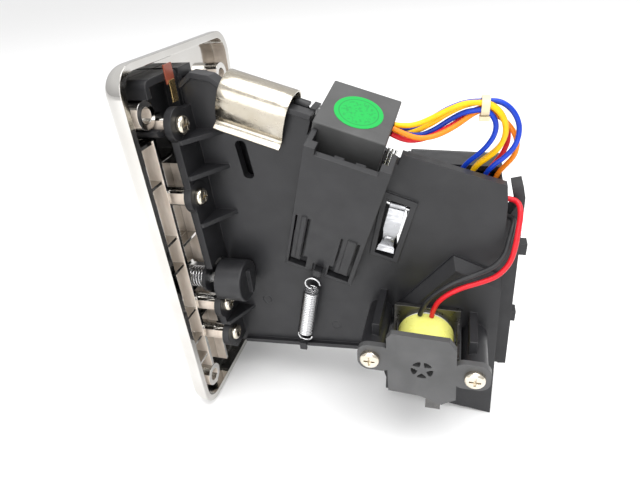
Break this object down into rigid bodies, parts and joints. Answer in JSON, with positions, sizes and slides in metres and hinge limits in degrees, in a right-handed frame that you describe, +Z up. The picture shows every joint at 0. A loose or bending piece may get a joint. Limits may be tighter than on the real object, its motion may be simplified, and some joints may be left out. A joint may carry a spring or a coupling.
{
  "type": "coin acceptor",
  "caption": "Electronic comparison coin acceptor: front panel bezel with coin slot, return button and flap, coil carriage, solenoid gate and wiring.",
  "frame": {"origin": "centre of the four panel bolt holes, in the plane of the bezel's rim that meets the panel", "axes": "+X to the right seen from the front, +Y into the machine, +Z up"},
  "size_m": [0.0694, 0.1205, 0.1275],
  "materials": {
    "chrome_plate": "mirror chrome plating on moulded plastic",
    "black_abs": "satin black moulded plastic with fine texture",
    "grey_black_abs": "satin dark grey moulded plastic",
    "clip_nickel": "bright nickel-plated spring steel",
    "screw_nickel": "nickel-plated screw",
    "spring_steel": "bright drawn wire",
    "zinc_leaf": "zinc-plated sheet",
    "pin_steel": "ground steel",
    "brass": "bright brass",
    "brown_strip": "glossy reddish brown",
    "copper_wire": "enamelled copper winding",
    "yellow_tape": "glossy polyester tape",
    "yellow_pvc": "wire insulation",
    "blue_pvc": "wire insulation",
    "red_pvc": "wire insulation",
    "orange_pvc": "wire insulation",
    "black_pvc": "wire insulation",
    "cream_nylon": "natural nylon",
    "green_label": "vivid green printed paper",
    "circuit_board": "solder mask",
    "white_nylon": "natural white nylon",
    "tin_pins": "tinned wire",
    "clear_plastic": "clear moulded plastic",
    "yoke_steel": "blackened steel",
    "aluminium_can": "capacitor can"
  },
  "bodies": {
    "frame": {"front_bezel": "chrome_plate", "coin_entry_guide": "black_abs", "entry_strip": "brown_strip", "entry_contact": "brass", "main_plate": "black_abs", "coin_rail": "black_abs", "gate_pin": "pin_steel", "gate_brackets": "black_abs", "spring_clip": "clip_nickel", "pawl_pin": "pin_steel", "coil_box": "grey_black_abs", "box_coil": "copper_wire", "sensor_pins": "tin_pins", "inspection_sticker": "green_label", "carriage_spring": "spring_steel", "button_spring": "spring_steel", "spring_seat": "black_abs", "solenoid_frame": "yoke_steel", "solenoid_bobbin": "white_nylon", "solenoid_winding": "yellow_tape", "plunger_spring": "spring_steel", "solenoid_cover": "black_abs", "solenoid_can": "yoke_steel", "clear_guard": "clear_plastic", "pcb_housing": "black_abs", "pcb_cover": "grey_black_abs", "pcb": "circuit_board", "connector_header": "white_nylon", "output_header": "white_nylon", "ic_chip": "black_abs", "capacitor": "aluminium_can", "exit_sensors": "clear_plastic", "housing_screws": "screw_nickel", "strip_arm": "black_abs", "arm_pin": "brass", "return_chute": "black_abs", "reject_ramp": "black_abs", "flap_pin": "pin_steel", "flange_screws": "screw_nickel", "cover_screws": "screw_nickel", "wire_yellow_front": "yellow_pvc", "wire_yellow_back": "yellow_pvc", "wire_blue_outer": "blue_pvc", "wire_blue_inner": "blue_pvc", "wire_red": "red_pvc", "wire_orange": "orange_pvc", "lead_red": "red_pvc", "lead_black": "black_pvc", "cable_tie": "cream_nylon"},
    "carriage": {"sensor_carriage": "black_abs"},
    "button": {"return_button": "chrome_plate", "button_shaft": "pin_steel", "plunger_hub": "black_abs"},
    "gate": {"gate_plate": "black_abs", "gate_coil": "copper_wire"},
    "plunger": {"solenoid_plunger": "pin_steel", "accept_blade": "black_abs"},
    "flap": {"return_flap": "black_abs"},
    "pawl": {"coin_pawl": "zinc_leaf"}
  },
  "joints": [
    {"name": "carriage_lift", "type": "slide", "parent": "frame", "child": "carriage", "axis": [0.2924, 0.2955, 0.9095], "range_m": [0, 0.006], "stiffness_N_per_m": 120, "springref_m": -0.004, "deforming": ["carriage_spring"]},
    {"name": "button_press", "type": "slide", "parent": "frame", "child": "button", "axis": [0, 1, 0], "range_m": [0, 0.003], "stiffness_N_per_m": 300, "springref_m": -0.001, "deforming": ["button_spring"]},
    {"name": "gate_swing", "type": "hinge", "parent": "frame", "child": "gate", "pos_m": [0.0018, 0.03188, 0.04958], "axis": [0, 0.9511, -0.309], "range_deg": [0, 4]},
    {"name": "plunger_pull", "type": "slide", "parent": "frame", "child": "plunger", "axis": [1, 0, 0], "range_m": [0, 0.0036], "stiffness_N_per_m": 120, "springref_m": -0.0015, "deforming": ["plunger_spring"]},
    {"name": "flap_swing", "type": "hinge", "parent": "frame", "child": "flap", "pos_m": [0, -0.0065, -0.0256], "axis": [1, 0, 0], "range_deg": [0, 45]},
    {"name": "pawl_swing", "type": "hinge", "parent": "frame", "child": "pawl", "pos_m": [0.0086, 0.0684, 0.0182], "axis": [0, -0.9461, 0.324], "range_deg": [0, 12]}
  ],
  "couplings": [
    {"joint": "gate_swing", "follows": "button_press", "rad_per_m": 23}
  ]
}
